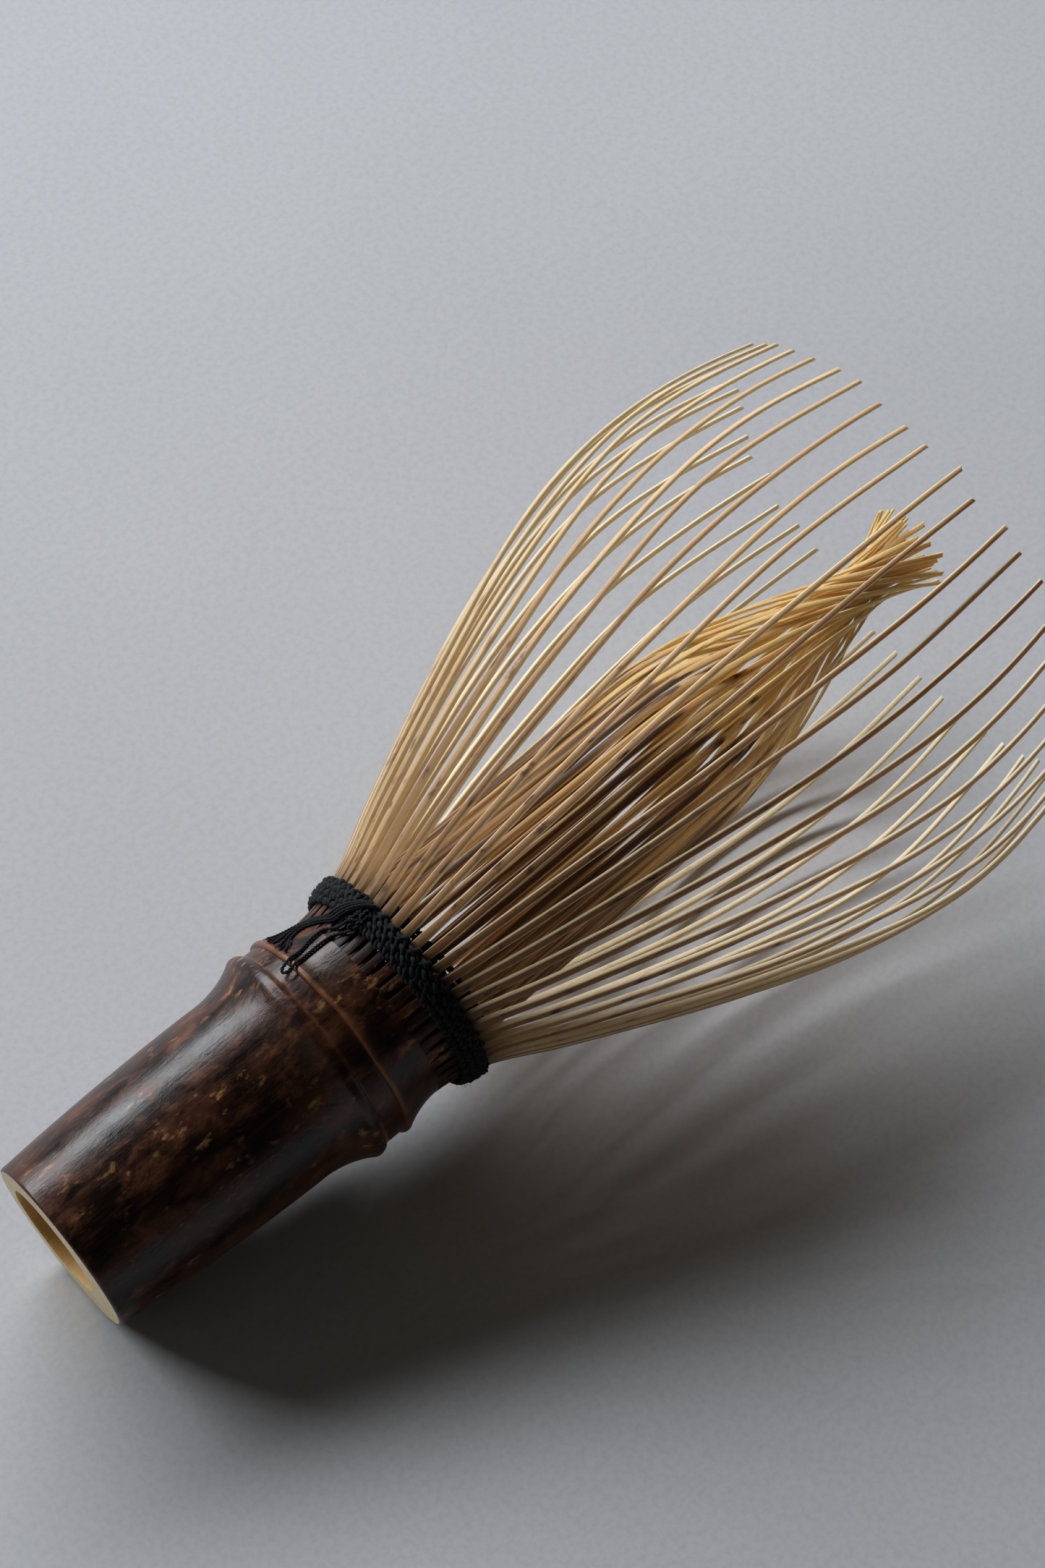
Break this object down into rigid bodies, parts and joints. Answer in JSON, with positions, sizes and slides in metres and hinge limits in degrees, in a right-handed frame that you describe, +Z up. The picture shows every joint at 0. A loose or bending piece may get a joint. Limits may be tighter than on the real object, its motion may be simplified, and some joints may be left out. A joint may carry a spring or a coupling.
{
  "type": "bamboo tea whisk",
  "caption": "Bamboo tea whisk lying on its side: hollow dark culm handle with a node, black thread round the neck, an outer cage of curling tines and an inner gathered bundle.",
  "frame": {"origin": "middle of the whisk's bounding box, on the surface it lies on", "axes": "+X along the whisk over the table, from the handle's cut end towards the tips of the tines; +Z up from the table; +Y to the left of +X"},
  "size_m": [0.1268, 0.0646, 0.0652],
  "materials": {
    "culm_skin": "gloss",
    "culm_pith": "matte",
    "outer_tines": "satin",
    "inner_tines": "satin",
    "thread": "matte"
  },
  "bodies": {
    "root": {"handle_culm": "culm_skin", "collar": "culm_skin", "node_diaphragm": "culm_pith", "outer_tines_01": "outer_tines", "inner_tines_01": "inner_tines", "outer_tines_02": "outer_tines", "inner_tines_02": "inner_tines", "outer_tines_03": "outer_tines", "inner_tines_03": "inner_tines", "outer_tines_04": "outer_tines", "inner_tines_04": "inner_tines", "outer_tines_05": "outer_tines", "inner_tines_05": "inner_tines", "outer_tines_06": "outer_tines", "inner_tines_06": "inner_tines", "outer_tines_07": "outer_tines", "inner_tines_07": "inner_tines", "outer_tines_08": "outer_tines", "inner_tines_08": "inner_tines", "outer_tines_09": "outer_tines", "inner_tines_09": "inner_tines", "outer_tines_10": "outer_tines", "inner_tines_10": "inner_tines", "outer_tines_11": "outer_tines", "inner_tines_11": "inner_tines", "outer_tines_12": "outer_tines", "inner_tines_12": "inner_tines", "outer_tines_13": "outer_tines", "inner_tines_13": "inner_tines", "outer_tines_14": "outer_tines", "inner_tines_14": "inner_tines", "outer_tines_15": "outer_tines", "inner_tines_15": "inner_tines", "outer_tines_16": "outer_tines", "inner_tines_16": "inner_tines", "thread_turn_1": "thread", "thread_turn_2": "thread", "thread_turn_3": "thread", "thread_weave": "thread", "thread_tail": "thread", "thread_bight": "thread"}
  },
  "joints": []
}
